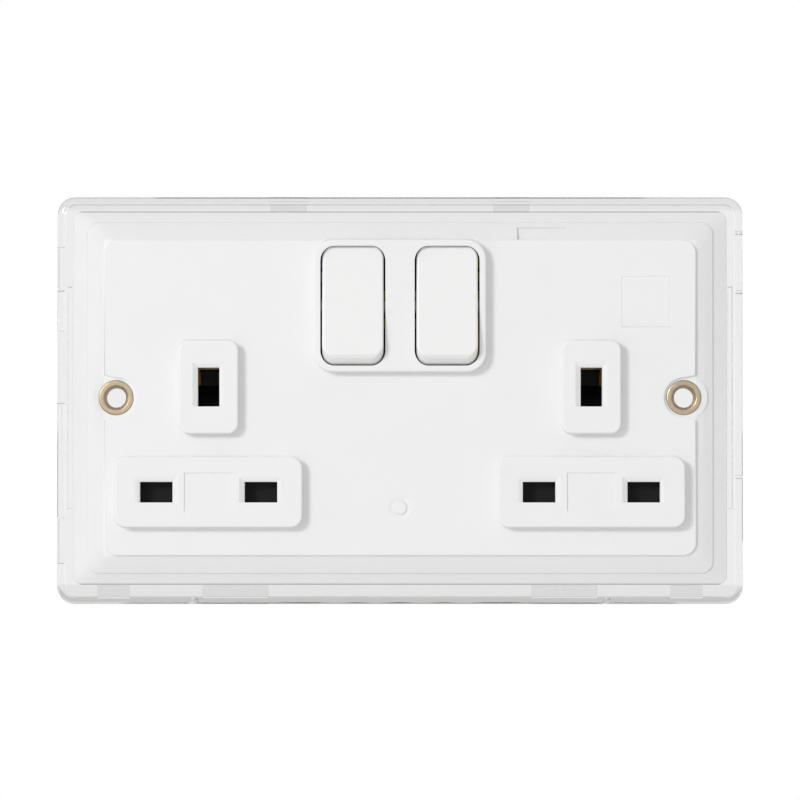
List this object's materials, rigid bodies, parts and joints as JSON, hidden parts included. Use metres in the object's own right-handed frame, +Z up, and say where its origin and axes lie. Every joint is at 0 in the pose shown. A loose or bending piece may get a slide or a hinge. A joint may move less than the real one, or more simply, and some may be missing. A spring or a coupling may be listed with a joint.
{
  "type": "twin switched wall socket",
  "caption": "Twin switched wall socket for square three-pin plugs, with rocker switches, pin shutters, screw terminals and a clip-on clear front plate.",
  "frame": {"origin": "midway between the two fixing screw holes, in the plane of the wall that the plate's rim meets", "axes": "+X to the right and +Z up as seen from the front, +Y into the wall"},
  "size_m": [0.1456, 0.0337, 0.0864],
  "materials": {
    "clear_plate": "clear polycarbonate, polished moulding",
    "white_moulding": "satin-gloss white urea moulding",
    "white_rocker": "satin-gloss white polycarbonate",
    "shutter_black": "black moulded nylon",
    "plunger": "natural acetal",
    "housing_black": "black thermoset moulding",
    "bush_brass": "turned brass",
    "contact_brass": "rolled and stamped brass strip",
    "terminal_brass": "machined brass",
    "spring_steel": "drawn spring wire",
    "plated_steel": "zinc-plated steel"
  },
  "bodies": {
    "root": {"front_plate": "clear_plate", "face_moulding": "white_moulding", "fixing_bush_left": "bush_brass", "fixing_bush_right": "bush_brass", "rear_housing": "housing_black", "housing_screws": "plated_steel", "shutter_spring_left": "spring_steel", "shutter_spring_right": "spring_steel", "earth_strap": "contact_brass", "earth_contact_left": "contact_brass", "earth_contact_right": "contact_brass", "line_contact_left": "contact_brass", "line_contact_right": "contact_brass", "neutral_contact_left": "contact_brass", "neutral_contact_right": "contact_brass", "line_busbar": "contact_brass", "neutral_busbar": "contact_brass", "line_terminal": "terminal_brass", "neutral_terminal": "terminal_brass", "earth_left_terminal": "terminal_brass", "earth_right_terminal": "terminal_brass", "line_terminal_screw": "plated_steel", "neutral_terminal_screw": "plated_steel", "earth_left_terminal_screw": "plated_steel", "earth_right_terminal_screw": "plated_steel"},
    "rocker_left": {"rocker_left": "white_rocker", "line_plunger_left": "plunger", "neutral_plunger_left": "plunger", "line_plunger_spring_left": "spring_steel", "neutral_plunger_spring_left": "spring_steel"},
    "rocker_right": {"rocker_right": "white_rocker", "line_plunger_right": "plunger", "neutral_plunger_right": "plunger", "line_plunger_spring_right": "spring_steel", "neutral_plunger_spring_right": "spring_steel"},
    "contact_arms_left": {"line_arm_left": "contact_brass", "neutral_arm_left": "contact_brass"},
    "contact_arms_right": {"line_arm_right": "contact_brass", "neutral_arm_right": "contact_brass"},
    "shutter_left": {"shutter_left": "shutter_black"},
    "shutter_right": {"shutter_right": "shutter_black"}
  },
  "joints": [
    {"name": "rocker_left_tilt", "type": "hinge", "parent": "root", "child": "rocker_left", "pos_m": [-0.01, -0.0044, 0.01945], "axis": [1, 0, 0], "range_deg": [0, 19]},
    {"name": "rocker_right_tilt", "type": "hinge", "parent": "root", "child": "rocker_right", "pos_m": [0.01, -0.0044, 0.01945], "axis": [1, 0, 0], "range_deg": [0, 19]},
    {"name": "contact_arms_left_tilt", "type": "hinge", "parent": "root", "child": "contact_arms_left", "pos_m": [-0.01, 0.00905, 0.01945], "axis": [1, 0, 0], "range_deg": [-12.5, 0]},
    {"name": "contact_arms_right_tilt", "type": "hinge", "parent": "root", "child": "contact_arms_right", "pos_m": [0.01, 0.00905, 0.01945], "axis": [1, 0, 0], "range_deg": [-12.5, 0]},
    {"name": "shutter_left_slide", "type": "slide", "parent": "root", "child": "shutter_left", "axis": [0, 0, -1], "range_m": [0, 0.005], "stiffness_N_per_m": 40, "springref_m": -0.005, "deforming": ["shutter_spring_left"]},
    {"name": "shutter_right_slide", "type": "slide", "parent": "root", "child": "shutter_right", "axis": [0, 0, -1], "range_m": [0, 0.005], "stiffness_N_per_m": 40, "springref_m": -0.005, "deforming": ["shutter_spring_right"]}
  ],
  "couplings": [
    {"joint": "contact_arms_left_tilt", "follows": "rocker_left_tilt", "ratio": -0.63158},
    {"joint": "contact_arms_right_tilt", "follows": "rocker_right_tilt", "ratio": -0.63158}
  ]
}
